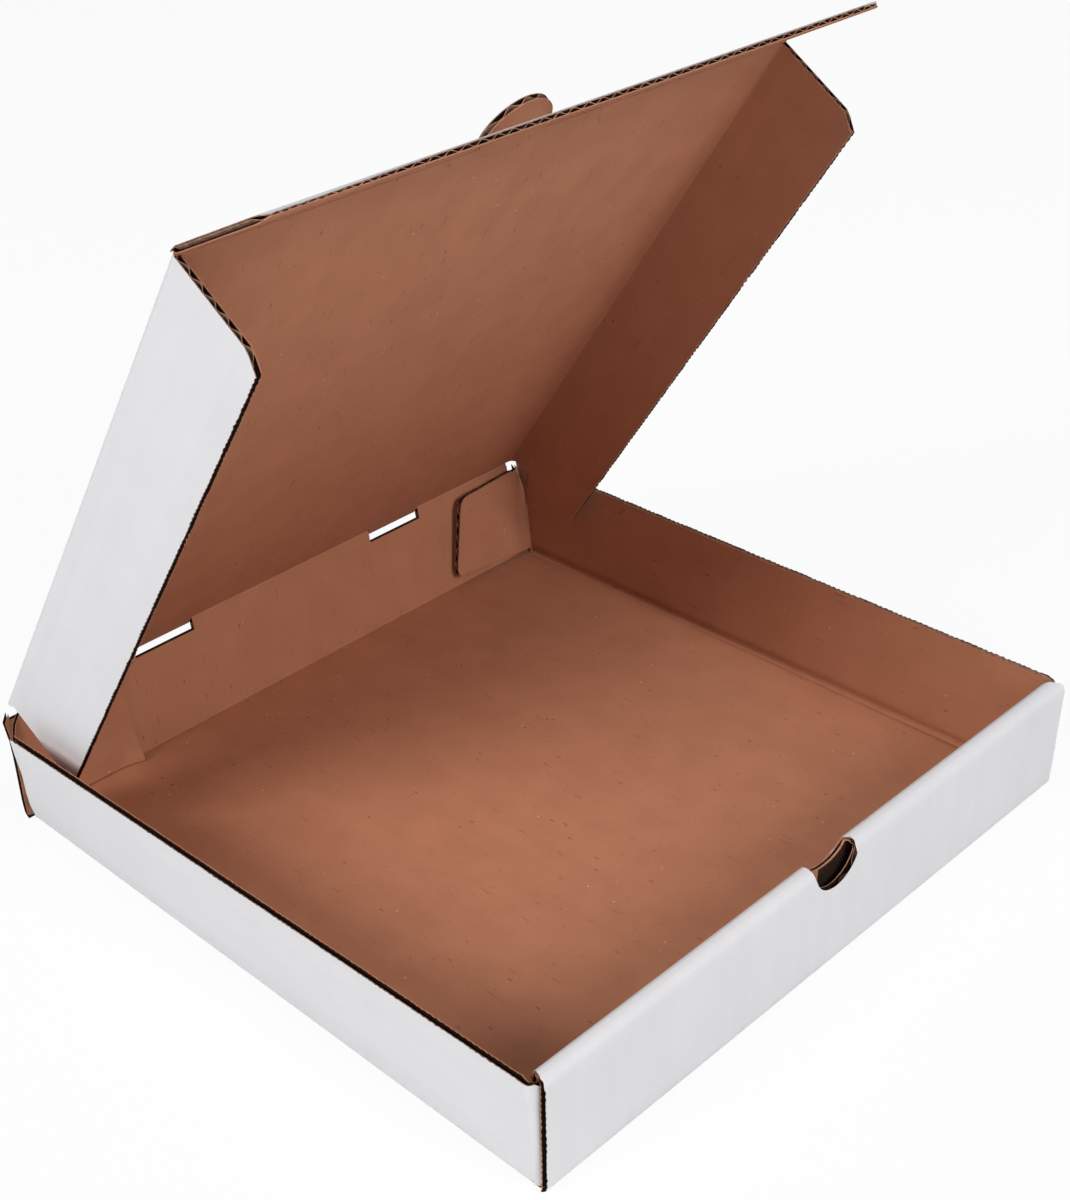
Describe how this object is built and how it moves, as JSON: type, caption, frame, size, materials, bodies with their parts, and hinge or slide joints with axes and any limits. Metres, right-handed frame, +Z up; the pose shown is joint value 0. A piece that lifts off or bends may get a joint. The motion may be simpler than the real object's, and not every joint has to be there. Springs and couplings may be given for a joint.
{
  "type": "pizza box",
  "caption": "Folded corrugated pizza box with a hinged lid, a tuck-in front flap with a thumb tab and a rolled-over front wall with a thumb notch.",
  "frame": {"origin": "middle of the tray's underside, on the surface the box stands on", "axes": "+X along the front wall to the right as seen from the front, +Y from the front wall back to the hinge, +Z up"},
  "size_m": [0.3183, 0.3182, 0.3121],
  "materials": {
    "tray_board": "corrugated board, plain brown kraft paper inside and matt white paper outside",
    "lid_board": "corrugated board, plain brown kraft paper inside and matt white paper outside",
    "flap_board": "corrugated board, plain brown kraft paper inside and matt white paper outside"
  },
  "bodies": {
    "tray": {"tray": "tray_board"},
    "lid": {"lid": "lid_board"},
    "front_flap": {"front_flap": "flap_board"}
  },
  "joints": [
    {"name": "lid_hinge", "type": "hinge", "parent": "tray", "child": "lid", "pos_m": [0, 0.1611, 0.0515], "axis": [-1, 0, 0], "range_deg": [-51.4, 124.6]},
    {"name": "front_flap_fold", "type": "hinge", "parent": "lid", "child": "front_flap", "pos_m": [0, -0.00528, 0.29268], "axis": [1, 0, 0], "range_deg": [-33.6, 56.4]}
  ]
}
